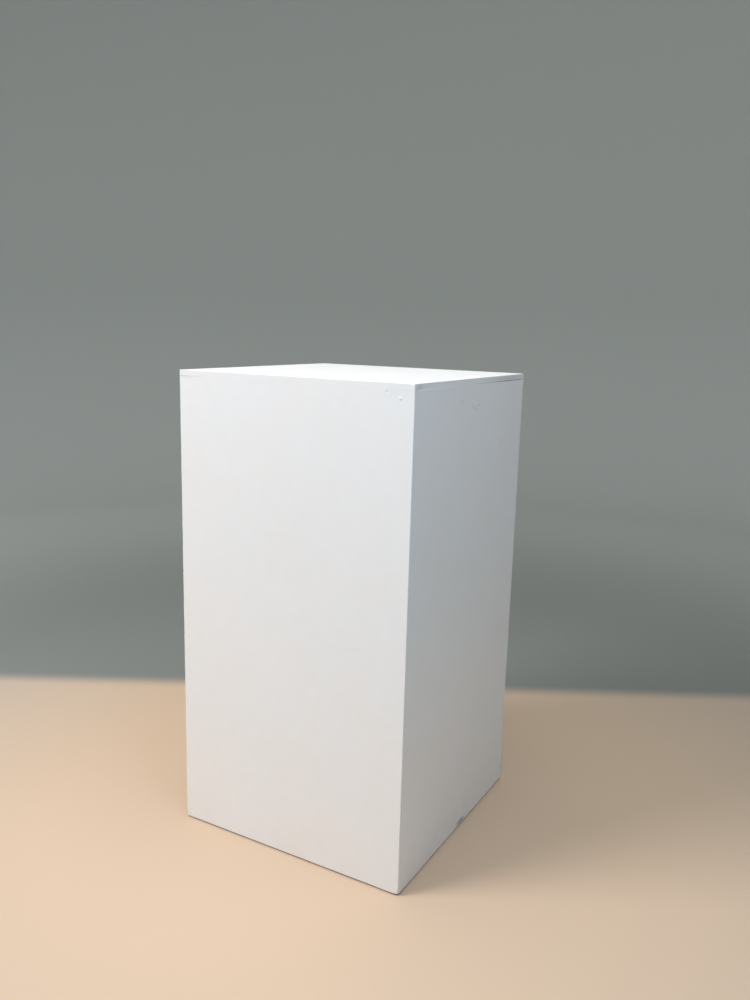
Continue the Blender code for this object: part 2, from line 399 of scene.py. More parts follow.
def corner_wear(points):
    """How much rounder than elsewhere the arrises are close to the eight outer corners."""
    wear = np.zeros(len(points))
    rng = np.random.default_rng(CORNER_SEED)
    for level in (WALL_FOOT, TOP):
        for x_side in (-1, 1):
            for y_side in (-1, 1):
                amount = float(rng.uniform(*CORNER_WEAR)) * MM
                if (level, x_side, y_side) == (WALL_FOOT, 1, -1):
                    amount = NEAR_CORNER_WEAR
                away = np.linalg.norm(points - (x_side * HALF, y_side * HALF, level), axis=1)
                wear += amount * np.exp(-((away / CORNER_REACH) ** 2))
    return wear


def sheet_edges(name, world):
    """(first, second, radius) of each rounded edge of a sheet, in its own axes: along, up, outward."""
    swing = np.clip(waves(world, count=14, shortest=9 * MM, longest=90 * MM, seed=17), -1, 1)
    wear = corner_wear(world)
    arris = ARRIS + ARRIS_SWING * swing + wear
    lid = LID_ARRIS + LID_SWING * swing + wear
    base = BASE_ARRIS + BASE_SWING * swing + wear
    seam = SEAM_ARRIS + (CRACK_ARRIS - SEAM_ARRIS) * seam_openness(world)
    ledge = seam + LEDGE_PER_SET_BACK * np.maximum(lid_set_back(world), 0)
    tight = np.full(len(world), SEAM_ARRIS)
    if name == "top_panel":
        outer = [((axis, side), (2, 1), lid) for axis in (0, 1) for side in (-1, 1)]
        lower = [((axis, side), (2, -1), seam) for axis in (0, 1) for side in (-1, 1)]
        upright = [((0, side), (1, other), arris) for side in (-1, 1) for other in (-1, 1)]
        return outer + lower + upright
    edges = [((1, 1), (2, 1), ledge), ((1, -1), (2, 1), base)]
    if name in COVERING_WALLS:
        edges += [((0, side), (2, 1), arris) for side in (-1, 1)]
        edges += [((0, side), (2, -1), tight) for side in (-1, 1)]
        edges += [((0, side), (1, 1), ledge) for side in (-1, 1)]
        edges += [((0, side), (1, -1), base) for side in (-1, 1)]
        return edges
    return edges + [((0, side), (2, 1), tight) for side in (-1, 1)]


def painted_sides(name):
    """The sides of a sheet that carry paint and its relief, as (axis, side)."""
    if name == "top_panel":
        return [(2, 1), (0, -1), (0, 1), (1, -1), (1, 1)]
    if name in COVERING_WALLS:
        return [(2, 1), (0, -1), (0, 1)]
    return [(2, 1)]


def reach_shift(name, points, low, high, world):
    """How a sheet's edge moves to meet its neighbour: paint and filler close all but the open cracks."""
    shift = np.zeros_like(points)
    closed = GAP - HAIRLINE
    if name == "top_panel":
        return shift
    fade = np.clip(1 - (high[1] - points[:, 1]) / REACH_FADE, 0, 1) ** 2
    shift[:, 1] = fade * (closed - CRACK_WIDTH * seam_openness(world))
    if name not in COVERING_WALLS:
        for side, bound in ((-1, low[0]), (1, high[0])):
            fade = np.clip(1 - np.abs(bound - points[:, 0]) / REACH_FADE, 0, 1) ** 2
            shift[:, 0] += side * fade * closed
    return shift


def sheet_spots(name, axes):
    """(place, step) of the knocks that a sheet's mesh lines close up for, along each of its two axes."""
    spots = [[], []]
    for place, radius, size in KNOCKS:
        flat = np.array(place)
        if name != "top_panel" and flat @ axes[2] > HALF - MM and abs(size) > MESHED_KNOCK:
            step = radius / SPOT_STEPS_PER_RADIUS
            spots[0].append((float(flat @ axes[0]), step))
            spots[1].append((float(flat @ axes[1]), step))
    return spots


def sheet_mesh(name):
    """The painted mesh of one sheet, without its screw holes."""
    axes = sheet_axes(name)
    low, high = (np.array(corner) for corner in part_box(name))
    ends = np.stack([axes @ low, axes @ high])
    low, high = ends.min(axis=0), ends.max(axis=0)
    spots = sheet_spots(name, axes)
    us = spaced(low[0], high[0], spots[0])
    vs = spaced(low[1], high[1], spots[1])
    ns = spaced(low[2], high[2], [])
    points, faces = shell(us, vs, ns)
    world = points @ axes
    shift = reach_shift(name, points, low, high, world)
    for first, second, radius in sheet_edges(name, world):
        shift += eased_shift(points, low, high, first, second, radius)
    outward = np.zeros_like(points)
    for axis, side in painted_sides(name):
        bound = high[axis] if side > 0 else low[axis]
        outward[:, axis] += side * np.clip(1 - np.abs(bound - points[:, axis]) / FACE_FADE, 0, 1)
    length = np.linalg.norm(outward, axis=1)
    outward[length > 0] /= length[length > 0, None]
    moved = points + shift
    proud = relief(moved @ axes)
    if name == "top_panel":
        sideways = np.abs(outward[:, :2]).max(axis=1)
        proud -= np.where(sideways > outward[:, 2], lid_set_back(world), 0)
    moved += outward * proud[:, None]
    placed = np.clip(moved @ axes, LOW, HIGH)
    mesh = bpy.data.meshes.new(name + "_painted")
    mesh.from_pydata(placed.tolist(), [], faces)
    mesh.update()
    return mesh


# ---------------------------------------------------------------- turned and threaded pieces

SCREW_CONE = 2.6 * MM
SCREW_NECK = 10 * MM
SCREW_NECK_SHARE = 0.80
SCREW_RUN_IN = 3 * MM
SCREW_PITCH = 1.9 * MM
SCREW_CORE = 1.25 * MM
SCREW_TAPER = 6 * MM
SCREW_TIP = 0.6 * MM
SCREW_ROUND = 18
SCREW_ROWS_PER_TURN = 8
SCREW_POINT_SHARE = 0.12
RIDGE_STEEPNESS = 4.2
RIDGE_POINT_SHARE = 0.25
HOLE_TOP = 0.05 * MM
HOLE_RIM = 0.5 * MM
HOLE_CLEAR = 0.25 * MM
TURNED_ROUND = 24
GLIDE_ROUND = 48
GLIDE_EDGE = 2.0 * MM
GLIDE_EDGE_STEPS = 4
BELOW_STEP = 0.995
GLIDE_WELL = 3.4 * MM
GLIDE_WELL_DEPTH = 2.2 * MM
GLIDE_BORE = 1.3 * MM
NAIL_SHANK = 1.0 * MM
SHARP_TURNED = math.radians(38)
SHARP_PAINTED = math.radians(42)


def node_frame(node, towards):
    """A matrix with its origin at a long node's end, its Z axis pointing out of the node that way."""
    low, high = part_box(node)
    middle = (low + high) / 2
    towards = Vector(towards)
    reach = max(abs(component) for component in (high - low))
    turn = towards.to_track_quat("Z", "Y").to_matrix().to_4x4()
    return Matrix.Translation(middle + towards * reach / 2) @ turn


def turned(name, profile, look):
    """A closed turned solid from (radius, height) points that start and end on the axis."""
    shape = bmesh.new()
    rings = []
    for radius, height in profile:
        if radius == 0:
            rings.append([shape.verts.new((0, 0, height))])
        else:
            rings.append(ring(shape, [radius] * TURNED_ROUND, height))
    join_rings(shape, rings)
    return solid_mesh(name, shape, look)


def join_rings(shape, rings):
    for lower, upper in zip(rings, rings[1:]):
        count = max(len(lower), len(upper))
        for step in range(count):
            after = (step + 1) % count
            corners = [
                lower[step % len(lower)],
                lower[after % len(lower)],
                upper[after % len(upper)],
                upper[step % len(upper)],
            ]
            shape.faces.new(list(dict.fromkeys(corners)))


def solid_mesh(name, shape, look):
    bmesh.ops.recalc_face_normals(shape, faces=shape.faces)
    mesh = bpy.data.meshes.new(name)
    shape.to_mesh(mesh)
    shape.free()
    mesh.shade_smooth()
    mesh.set_sharp_from_angle(angle=SHARP_TURNED)
    mesh.materials.append(look)
    return mesh


def applied_boolean(target, cutter):
    """The target's mesh less the cutter's, cut faces keeping the cutter's material."""
    boolean = target.modifiers.new("cut", "BOOLEAN")
    boolean.operation = "DIFFERENCE"
    boolean.solver = "EXACT"
    boolean.material_mode = "TRANSFER"
    boolean.object = cutter
    graph = bpy.context.evaluated_depsgraph_get()
    mesh = bpy.data.meshes.new_from_object(target.evaluated_get(graph))
    target.modifiers.clear()
    target.data = mesh
    bpy.data.objects.remove(cutter, do_unlink=True)
    return mesh


def linked(name, data, pose=None):
    """A new object in the scene that shows the given mesh, lamp or camera data."""
    made = bpy.data.objects.new(name, data)
    bpy.context.scene.collection.objects.link(made)
    if pose is not None:
        made.matrix_world = pose
    return made


def screw_sizes():
    """A screw's head radius and whole length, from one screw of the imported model."""
    low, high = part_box("lid_screw_front")
    return (high.x - low.x) / 2, high.z - low.z


def thread_radius(depth, turn, length, outer):
    """Radius of the threaded shank at a depth below the head, with its ridge winding round and down."""
    taper = min(1.0, max(0.0, (length - depth) / SCREW_TAPER))
    run_in = min(1.0, max(0.0, (depth - SCREW_NECK) / SCREW_RUN_IN))
    phase = (depth / SCREW_PITCH - turn) % 1.0
    ridge = max(0.0, 1 - abs(phase - 0.5) * RIDGE_STEEPNESS)
    core = SCREW_CORE * (SCREW_POINT_SHARE + (1 - SCREW_POINT_SHARE) * taper)
    neck = outer * SCREW_NECK_SHARE
    plain = neck + (core - neck) * run_in
    return plain + (outer - plain) * ridge * run_in * (RIDGE_POINT_SHARE + (1 - RIDGE_POINT_SHARE) * taper)


def screw_mesh(steel):
    """A countersunk screw with a coarse helical thread, its head's top at the origin, pointing down."""
    head, length = screw_sizes()
    shank = head / 2
    shape = bmesh.new()
    head_profile = [
        (head - 0.25 * MM, 0.0),
        (head, -0.12 * MM),
        (head, -0.40 * MM),
        (shank, -SCREW_CONE),
        (shank * SCREW_NECK_SHARE, -SCREW_CONE - 0.3 * MM),
    ]
    rows = int((length - SCREW_NECK) / SCREW_PITCH * SCREW_ROWS_PER_TURN)
    depths = [SCREW_NECK + (length - SCREW_TIP - SCREW_NECK) * row / rows for row in range(rows + 1)]
    rings = [[shape.verts.new((0, 0, 0))]]
    for radius, height in head_profile:
        rings.append(ring(shape, [radius] * SCREW_ROUND, height))
    for depth in depths:
        around = [thread_radius(depth, step / SCREW_ROUND, length, shank) for step in range(SCREW_ROUND)]
        rings.append(ring(shape, around, -depth))
    rings.append([shape.verts.new((0, 0, -length))])
    join_rings(shape, rings)
    blank = linked("screw_blank", solid_mesh("screw", shape, steel))
    mesh = applied_boolean(blank, linked("screw_recess", recess_mesh(steel)))
    bpy.data.objects.remove(blank, do_unlink=True)
    return mesh


def ring(shape, radii, height):
    count = len(radii)
    made = []
    for step, radius in enumerate(radii):
        angle = math.tau * step / count
        made.append(shape.verts.new((radius * math.cos(angle), radius * math.sin(angle), height)))
    return made


def recess_mesh(steel):
    """The cross recess: a star of eight narrow and four wide points that tapers to its floor."""
    shape = bmesh.new()
    levels = ((0.5 * MM, 1.30), (-0.3 * MM, 1.0), (-1.9 * MM, 0.42))
    rings = []
    for height, size in levels:
        made = []
        for quarter in range(4):
            turn = Matrix.Rotation(quarter * math.pi / 2, 2)
            for across, along in ((2.1, -0.42), (2.1, 0.42), (0.62, 0.62)):
                place = turn @ Vector((across * size * MM, along * MM))
                made.append(shape.verts.new((*place, height)))
        rings.append(made)
    join_rings(shape, rings)
    shape.faces.new(rings[0])
    shape.faces.new(rings[-1])
    return solid_mesh("recess", shape, steel)


def screw_pose(node):
    """A screw's pose: its head faces out of the wall or the lid that it goes through."""
    words = node.split("_")
    if words[0] == "lid":
        return node_frame(node, (0, 0, 1))
    return node_frame(node, sheet_axes(words[2] + "_panel")[2])


def hole_mesh(look):
    """The hole that a screw leaves in a sheet, a little larger than the screw."""
    head, length = screw_sizes()
    wide = head + HOLE_CLEAR
    narrow = head / 2 + HOLE_CLEAR
    end = length + MM
    profile = [
        (0.0, HOLE_TOP),
        (wide, HOLE_TOP),
        (wide, -HOLE_RIM),
        (narrow, -SCREW_CONE - HOLE_CLEAR),
        (narrow, -end),
        (0.0, -end),
    ]
    return turned("screw_hole", profile, look)


def glide_mesh(look, height, radius):
    """A moulded nylon glide: rounded sole, a fine moulding step and a well for the nail."""
    foot = radius - GLIDE_EDGE
    profile = [
        (GLIDE_WELL, 0.25 * MM),
        (GLIDE_WELL + 0.25 * MM, 0.0),
        (foot, 0.0),
    ]
    for step in range(1, GLIDE_EDGE_STEPS + 1):
        angle = math.pi / 2 * step / GLIDE_EDGE_STEPS
        outward = foot + GLIDE_EDGE * math.sin(angle) * BELOW_STEP
        profile.append((outward, 1.5 * MM * (1 - math.cos(angle))))
    profile += [
        (radius, 1.6 * MM),
        (radius, height - 1.3 * MM),
        (radius - 0.25 * MM, height - 1.2 * MM),
        (radius - 0.25 * MM, height - 0.2 * MM),
        (radius - 0.45 * MM, height),
        (GLIDE_BORE, height),
        (GLIDE_BORE, GLIDE_WELL_DEPTH),
        (GLIDE_WELL - 0.2 * MM, GLIDE_WELL_DEPTH),
        (GLIDE_WELL, GLIDE_WELL_DEPTH - 0.2 * MM),
    ]
    shape = bmesh.new()
    rings = [ring(shape, [reach] * GLIDE_ROUND, level) for reach, level in profile]
    join_rings(shape, rings + [rings[0]])
    return solid_mesh("glide", shape, look)


def nail_mesh(look, head, length):
    """A glide's nail, pointing up, with a slightly domed head and a drawn point."""
    profile = [
        (0.0, 0.0),
        (head * 0.6, 0.03 * MM),
        (head - 0.2 * MM, 0.15 * MM),
        (head, 0.35 * MM),
        (head, 0.8 * MM),
        (head - 0.2 * MM, 1.0 * MM),
        (NAIL_SHANK + 0.2 * MM, 1.0 * MM),
        (NAIL_SHANK, 1.2 * MM),
        (NAIL_SHANK, length - 3.0 * MM),
        (NAIL_SHANK * 0.45, length - 0.8 * MM),
        (0.0, length),
    ]
    return turned("glide_nail", profile, look)


# ---------------------------------------------------------------- materials


class Recipe:
    """Short ways to add nodes to one material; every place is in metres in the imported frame."""

    def __init__(self, name):
        self.material = bpy.data.materials.new(name)
        self.material.use_nodes = True
        self.tree = self.material.node_tree
        self.shader = self.tree.nodes["Principled BSDF"]
        self.place = self.add("ShaderNodeTexCoord").outputs["Object"]

    def add(self, kind, settings=None, **inputs):
        made = self.tree.nodes.new(kind)
        for key, value in (settings or {}).items():
            setattr(made, key, value)
        for key, value in inputs.items():
            self.put(made.inputs[key.replace("_", " ")], value)
        return made

    def put(self, socket, value):
        if isinstance(value, bpy.types.NodeSocket):
            self.tree.links.new(value, socket)
        else:
            socket.default_value = value

    def math(self, operation, first, second=0.0):
        made = self.add("ShaderNodeMath", {"operation": operation})
        self.put(made.inputs[0], first)
        self.put(made.inputs[1], second)
        return made.outputs[0]

    def vector(self, operation, first, second=(0, 0, 0)):
        made = self.add("ShaderNodeVectorMath", {"operation": operation})
        self.put(made.inputs[0], first)
        self.put(made.inputs[1], second)
        return made.outputs["Value" if operation in ("LENGTH", "DOT_PRODUCT") else "Vector"]

    def product(self, first, *others):
        for other in others:
            first = self.math("MULTIPLY", first, other)
        return first

    def noise(self, scale, detail=2.0, roughness=0.5, place=None):
        made = self.add(
            "ShaderNodeTexNoise",
            Vector=self.place if place is None else place,
            Scale=scale,
            Detail=detail,
            Roughness=roughness,
        )
        return made.outputs["Fac"]

    def ramp(self, value, low, high, low_to=0.0, high_to=1.0):
        """A smooth change from low_to to high_to as the value goes from low to high."""
        made = self.add("ShaderNodeMapRange", {"interpolation_type": "SMOOTHSTEP"})
        self.put(made.inputs["Value"], value)
        limits = {"From Min": low, "From Max": high, "To Min": low_to, "To Max": high_to}
        for key, number in limits.items():
            made.inputs[key].default_value = number
        return made.outputs["Result"]

    def mix(self, share, first, second):
        made = self.add("ShaderNodeMix", {"data_type": "RGBA"})
        self.put(made.inputs["Factor"], share)
        self.put(made.inputs["A"], (*first, 1) if isinstance(first, tuple) else first)
        self.put(made.inputs["B"], (*second, 1) if isinstance(second, tuple) else second)
        return next(socket for socket in made.outputs if socket.type == "RGBA")

    def bump(self, height, distance, strength):
        made = self.add("ShaderNodeBump", Height=height, Distance=distance, Strength=strength)
        return made.outputs["Normal"]

    def finish(self, colour, roughness, normal=None, metallic=0.0):
        """The finished material."""
        self.put(self.shader.inputs["Base Color"], colour)
        self.put(self.shader.inputs["Roughness"], roughness)
        self.shader.inputs["Metallic"].default_value = metallic
        if normal is not None:
            self.put(self.shader.inputs["Normal"], normal)
        return self.material


# Colours, linear
PAINT = (0.800, 0.806, 0.804)
PAINT_WARM = (0.806, 0.800, 0.786)
PAINT_THIN = (0.70, 0.705, 0.71)
GRIME = (0.52, 0.47, 0.41)
SCUFF = (0.20, 0.19, 0.19)
BOARD_DARK = (0.34, 0.22, 0.12)
BOARD_LIGHT = (0.46, 0.32, 0.19)
BOARD_CLOUD = (0.30, 0.20, 0.12)
EARLY_WOOD = (0.66, 0.48, 0.29)
LATE_WOOD = (0.45, 0.27, 0.13)
WOOD_STREAK = (0.40, 0.25, 0.13)
ZINC = (0.62, 0.61, 0.57)
ZINC_YELLOW = (0.66, 0.62, 0.50)
NYLON = (0.26, 0.26, 0.265)
NYLON_WORN = (0.44, 0.43, 0.41)
RINGS_PER_METRE = 260.0

# Faint marks in the paint and patches of painted light: stains and scuffs, a painted shadow under the lid's
# edge at the front's top left, and painted highlights and painted shade on the lit and shaded sides of bumps
# and dents. Each row is (wall, from its left edge, below the lid's top, half-sizes along X, Y and Z, colour,
# strength), sizes and places in millimetres
STAINS_AND_PAINTED_LIGHT = (
    ("front_panel", 14, 6, (24, 3, 6), (0.80, 0.79, 0.71), 0.55),
    ("front_panel", 12, 70, (8, 3, 13), (0.79, 0.78, 0.69), 0.35),
    ("front_panel", 430, 512, (20, 3, 9), (0.70, 0.70, 0.71), 0.20),
    ("front_panel", 8, 989.5, (2.4, 3, 2.4), (0.33, 0.29, 0.25), 0.75),
    ("front_panel", 11, 979, (2.4, 3, 2.2), (0.40, 0.36, 0.32), 0.60),
    # Painted highlight: a lighter patch over the small bump between the two dark scuffs at the front's foot
    ("front_panel", 17, 984, (9, 3, 4.5), (0.88, 0.87, 0.83), 0.50),
    # Painted shadow: the shade that the lid's edge casts just under the seam at the front's top left
    ("front_panel", 18, 14.5, (24, 3, 5), (0.62, 0.62, 0.60), 0.36),
    ("right_panel", 18, 7, (3, 26, 7), (0.55, 0.55, 0.56), 0.60),
    ("right_panel", 450, 7, (3, 150, 8), (0.56, 0.57, 0.58), 0.55),
    # Painted shade: darker patches on the three dents below the pair of bumps, the mark's shaded lower side
    ("right_panel", 264, 59, (3, 8, 4.5), (0.55, 0.56, 0.57), 0.50),
    ("right_panel", 277, 64, (3, 8, 4.5), (0.52, 0.53, 0.54), 0.60),
    ("right_panel", 289, 56, (3, 8, 4.5), (0.55, 0.56, 0.57), 0.50),
    # Painted highlight: a lighter patch over the lit top of the same mark
    ("right_panel", 270, 51, (3, 9, 4.5), (0.90, 0.90, 0.91), 0.50),
    # Painted shade: a darker patch over the two dents near the top of the right wall
    ("right_panel", 202, 44, (3, 9, 5), (0.62, 0.63, 0.64), 0.40),
    # Painted highlight: a lighter patch over the bumps low on the right wall
    ("right_panel", 105, 891, (3, 7, 6), (0.93, 0.93, 0.92), 0.60),
    ("right_panel", 424, 144, (3, 14, 12), (0.60, 0.61, 0.63), 0.25),
    ("right_panel", 298, 990, (3, 32, 7), (0.17, 0.29, 0.47), 0.90),
    # Painted highlight: a lighter patch over the bump near the top of the right wall
    ("right_panel", 240, 20, (3, 7, 5), (0.84, 0.84, 0.85), 0.50),
    ("back_panel", 150, 420, (28, 3, 40), (0.68, 0.68, 0.69), 0.20),
    ("left_panel", 360, 610, (3, 30, 22), (0.68, 0.67, 0.66), 0.20),
)


def paint_material():
    """White satin paint put on with a small roller: orange peel, faint mottling, grime low down, stains
    and scuffs, and patches of painted highlight and painted shade.
    """
    recipe = Recipe("white_satin_paint")
    mottle = recipe.ramp(recipe.noise(scale=7.0, detail=3.0), low=0.35, high=0.65)
    colour = recipe.mix(mottle, PAINT, PAINT_WARM)
    thin = recipe.ramp(recipe.noise(scale=46.0, detail=4.0, roughness=0.6), low=0.3, high=0.7)
    colour = recipe.mix(recipe.product(thin, 0.11), colour, PAINT_THIN)
    height = recipe.add("ShaderNodeSeparateXYZ", Vector=recipe.place).outputs["Z"]
    low_down = recipe.ramp(height, low=0.0, high=110 * MM, low_to=1.0, high_to=0.0)
    clouds = recipe.ramp(recipe.noise(scale=13.0, detail=5.0, roughness=0.65), low=0.38, high=0.75)
    colour = recipe.mix(recipe.product(low_down, clouds, 0.07), colour, GRIME)
    colour = recipe.mix(edge_scuffs(recipe, height), colour, SCUFF)
    for wall, from_left, below_top, sizes, tint, strength in STAINS_AND_PAINTED_LIGHT:
        place = on_wall(wall, from_left * MM, below_top * MM)
        colour = stain_or_painted_light(recipe, colour, place, sizes, tint, strength)
    sheen = recipe.ramp(recipe.noise(scale=24.0, detail=3.0), low=0.3, high=0.7, low_to=0.40, high_to=0.52)
    return recipe.finish(colour, sheen, roller_texture(recipe))


def roller_texture(recipe):
    """Normals of the paint's skin: fine and coarse orange peel, and strokes that run up and down."""
    fine_peel = recipe.noise(scale=620.0, detail=2.0, roughness=0.55)
    coarse_peel = recipe.noise(scale=210.0, detail=2.0, roughness=0.5)
    stroke_place = recipe.vector("MULTIPLY", recipe.place, (330.0, 330.0, 24.0))
    strokes = recipe.noise(scale=1.0, detail=3.0, roughness=0.6, place=stroke_place)
    texture = recipe.math("ADD", recipe.product(fine_peel, 0.55), recipe.product(coarse_peel, 0.8))
    texture = recipe.math("ADD", texture, recipe.product(strokes, 0.45))
    return recipe.bump(texture, distance=0.10 * MM, strength=0.55)


def edge_scuffs(recipe, height):
    """Share of dark scuffing: broken specks within a few millimetres of the walls' feet."""
    near = recipe.ramp(height, low=WALL_FOOT + 1 * MM, high=WALL_FOOT + 11 * MM, low_to=1.0, high_to=0.0)
    specks = recipe.ramp(recipe.noise(scale=150.0, detail=4.0, roughness=0.7), low=0.60, high=0.72)
    patches = recipe.ramp(recipe.noise(scale=11.0, detail=2.0), low=0.45, high=0.60)
    return recipe.product(near, specks, patches, 0.65)


def stain_or_painted_light(recipe, colour, place, sizes, tint, strength):
    """The colour so far with one soft, uneven patch of the given half-sizes in millimetres: a stain or a
    scuff, or a patch of painted highlight or painted shade, as the row it comes from says.
    """
    spread = tuple(1 / (size * MM) for size in sizes)
    away = recipe.vector("SUBTRACT", recipe.place, tuple(place))
    distance = recipe.vector("LENGTH", recipe.vector("MULTIPLY", away, spread))
    unevenness = recipe.noise(scale=2.2 / (min(sizes[0], sizes[2]) * MM), detail=3.0)
    rough_edge = recipe.math("ADD", distance, unevenness)
    share = recipe.ramp(rough_edge, low=0.75, high=1.45, low_to=strength, high_to=0.0)
    return recipe.mix(share, colour, tint)


def raw_board_material():
    """The bare fibre board inside the box and on the undersides of its sheets."""
    recipe = Recipe("raw_fibre_board")
    fibres = recipe.noise(scale=900.0, detail=3.0, roughness=0.7)
    clouds = recipe.noise(scale=30.0, detail=3.0)
    colour = recipe.mix(recipe.ramp(fibres, low=0.3, high=0.7), BOARD_DARK, BOARD_LIGHT)
    cloudy = recipe.ramp(clouds, low=0.3, high=0.7, low_to=0.0, high_to=0.25)
    colour = recipe.mix(cloudy, colour, BOARD_CLOUD)
    dullness = recipe.ramp(clouds, low=0.3, high=0.7, low_to=0.72, high_to=0.86)
    return recipe.finish(colour, dullness, recipe.bump(fibres, distance=0.08 * MM, strength=0.6))


def softwood_material(name, grain_axis, heart, seed):
    """Planed pine: growth rings round a heart line beside the piece, streaks along its grain."""
    recipe = Recipe(name)

    def stretched(along, across):
        return tuple(along if axis == grain_axis else across for axis in range(3))

    away = recipe.vector("SUBTRACT", recipe.place, heart)
    wander_place = recipe.vector("MULTIPLY", away, stretched(3.0, 14.0))
    wander_place = recipe.vector("ADD", wander_place, (seed, seed * 0.7, seed * 1.3))
    wander = recipe.product(recipe.noise(scale=1.0, place=wander_place), 12 * MM)
    from_heart = recipe.vector("LENGTH", recipe.vector("MULTIPLY", away, stretched(0.0, 1.0)))
    rings = recipe.math("FRACT", recipe.product(recipe.math("ADD", from_heart, wander), RINGS_PER_METRE))
    late = recipe.ramp(rings, low=0.45, high=0.95)
    colour = recipe.mix(late, EARLY_WOOD, LATE_WOOD)
    streak_place = recipe.vector("MULTIPLY", recipe.place, stretched(9.0, 520.0))
    streaks = recipe.noise(scale=1.0, detail=3.0, roughness=0.6, place=streak_place)
    streaky = recipe.ramp(streaks, low=0.35, high=0.75, low_to=0.0, high_to=0.35)
    colour = recipe.mix(streaky, colour, WOOD_STREAK)
    dullness = recipe.ramp(streaks, low=0.3, high=0.7, low_to=0.55, high_to=0.72)
    raised = recipe.math("ADD", recipe.product(late, 0.5), streaks)
    return recipe.finish(colour, dullness, recipe.bump(raised, distance=0.12 * MM, strength=0.5))


def zinc_material():
    """Bright zinc plate with a faint yellow cast and fine wear."""
    recipe = Recipe("zinc_plated_steel")
    wear = recipe.noise(scale=1500.0, detail=3.0, roughness=0.6)
    clouds = recipe.ramp(recipe.noise(scale=240.0, detail=2.0), low=0.35, high=0.65)
    colour = recipe.mix(clouds, ZINC, ZINC_YELLOW)
    dullness = recipe.ramp(wear, low=0.3, high=0.7, low_to=0.24, high_to=0.42)
    return recipe.finish(colour, dullness, recipe.bump(wear, distance=0.02 * MM, strength=0.4), metallic=1.0)


def nylon_material():
    """Grey moulded nylon, its sole scratched by the floor."""
    recipe = Recipe("grey_nylon")
    grain = recipe.noise(scale=1400.0, detail=2.0)
    scratch_place = recipe.vector("MULTIPLY", recipe.place, (160.0, 1900.0, 300.0))
    scratches = recipe.noise(scale=1.0, detail=3.0, roughness=0.7, place=scratch_place)
    height = recipe.add("ShaderNodeSeparateXYZ", Vector=recipe.place).outputs["Z"]
    sole = recipe.ramp(height, low=0.2 * MM, high=1.2 * MM, low_to=1.0, high_to=0.0)
    worn = recipe.product(sole, recipe.ramp(scratches, low=0.45, high=0.7))
    colour = recipe.mix(worn, NYLON, NYLON_WORN)
    dullness = recipe.ramp(scratches, low=0.3, high=0.7, low_to=0.42, high_to=0.60)
    return recipe.finish(colour, dullness, recipe.bump(grain, distance=0.03 * MM, strength=0.4))


# ---------------------------------------------------------------- putting the plinth together


HEART_OFFSET = Vector((21, 27, 33)) * MM
SEED_STEP = 1.7
FACING_DOWN = -0.7


def painted_sheet(name, paint, raw):
    """One sheet of the box: painted outside, bare inside, with blind holes for its screws."""
    mesh = sheet_mesh(name)
    mesh.materials.append(paint)
    mesh.materials.append(raw)
    for face in mesh.polygons:
        under = face.normal.z < FACING_DOWN and face.center.z < WALL_FOOT + 2 * MM
        face.material_index = int(under or face.index == len(mesh.polygons) - 1)
    piece = linked(name + "_painted", mesh)
    word = "lid_screw" if name == "top_panel" else "wall_screw_" + name.split("_")[0]
    screws = [node for node in sorted(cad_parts) if node.startswith(word)]
    hole = hole_mesh(raw)
    shape = bmesh.new()
    for screw in screws:
        start = len(shape.verts)
        shape.from_mesh(hole)
        shape.verts.ensure_lookup_table()
        bmesh.ops.transform(shape, matrix=screw_pose(screw), verts=shape.verts[start:])
    cutter = linked(name + "_holes", solid_mesh(name + "_holes", shape, raw))
    mesh = applied_boolean(piece, cutter)
    mesh.shade_smooth()
    mesh.set_sharp_from_angle(angle=SHARP_PAINTED)
    finish_piece(piece, name)


def finish_piece(piece, node):
    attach(piece, BODY)
    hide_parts(node)


def make_fixings(steel, nylon):
    screw = screw_mesh(steel)
    glide_low, glide_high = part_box("base_glide_front_left")
    nail_low, nail_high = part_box("glide_nail_front_left")
    glide = glide_mesh(nylon, glide_high.z - glide_low.z, (glide_high.x - glide_low.x) / 2)
    nail = nail_mesh(steel, (nail_high.x - nail_low.x) / 2, nail_high.z - nail_low.z)
    for node in sorted(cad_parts):
        if node.startswith(("wall_screw", "lid_screw")):
            finish_piece(linked(node + "_threaded", screw, screw_pose(node)), node)
        if node.startswith("base_glide"):
            finish_piece(linked(node + "_moulded", glide, foot_pose(node)), node)
        if node.startswith("glide_nail"):
            finish_piece(linked(node + "_drawn", nail, foot_pose(node)), node)


def foot_pose(node):
    low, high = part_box(node)
    middle = (low + high) / 2
    return Matrix.Translation((middle.x, middle.y, low.z))


def grain_the_frame():
    """Each post and rail gets its own pine, the grain running along it."""
    for count, node in enumerate(sorted(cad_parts)):
        if not node.startswith(("corner_post", "top_rail", "base_rail")):
            continue
        low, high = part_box(node)
        sizes = list(high - low)
        grain_axis = sizes.index(max(sizes))
        heart = (low + high) / 2 + HEART_OFFSET * (1 if count % 2 else -1)
        look = softwood_material("pine_" + node, grain_axis, tuple(heart), SEED_STEP * count)
        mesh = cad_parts[node].data
        mesh.materials.clear()
        mesh.materials.append(look)


# ---------------------------------------------------------------- floor, light and camera

FLOOR_RADIUS = 3.6
BOWL_RADIUS = 1.3
BOWL_TOP = 4.5
BOWL_STEPS = 12
BOWL_ROUND = 96
FLOOR_COLOUR = (0.62, 0.465, 0.33)
FLOOR_FAR_COLOUR = (0.42, 0.38, 0.33)
APRON_COLOUR = (0.20, 0.215, 0.20)
BACKDROP_COLOUR = (0.40, 0.43, 0.41)

# Where one colour of the stage goes over into the next, in metres from the plinth's middle
FLOOR_FADE = (0.5, 2.0)
APRON_FADE = (0.59, 0.69)
BACKDROP_FADE = (1.5, FLOOR_RADIUS)

